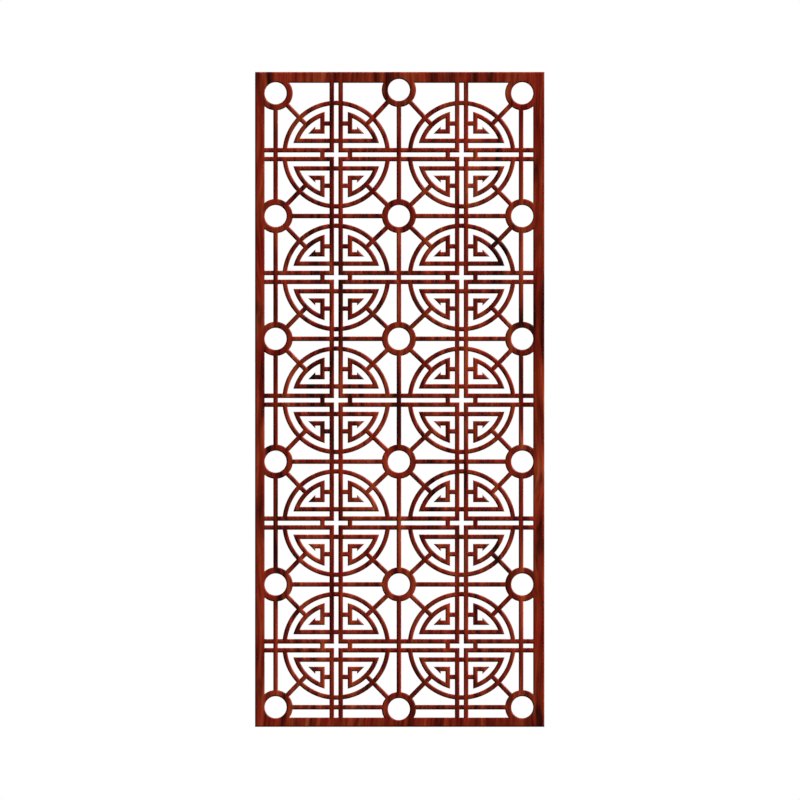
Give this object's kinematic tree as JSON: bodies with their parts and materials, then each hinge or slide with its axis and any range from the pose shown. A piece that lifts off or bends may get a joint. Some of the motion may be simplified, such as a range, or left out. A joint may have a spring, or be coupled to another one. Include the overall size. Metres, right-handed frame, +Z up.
{
  "type": "window grille",
  "caption": "Tall flat pierced grille panel with round longevity medallions, small rings and tie bars inside a plain border, cut from one sheet",
  "frame": {"origin": "on the back of the bottom rail, halfway up the rail, on the line that the pattern is symmetric about", "axes": "+Z up along the panel's height, +Y out of the flat back, +X to the right seen from the front, which looks along -Y"},
  "size_m": [0.6185, 0.008, 1.4],
  "materials": {
    "woodgrain_coat": "satin wood-grain coat, red-brown with dark upright streaks, on aluminium sheet"
  },
  "bodies": {
    "root": {"grille_panel": "woodgrain_coat"}
  },
  "joints": []
}
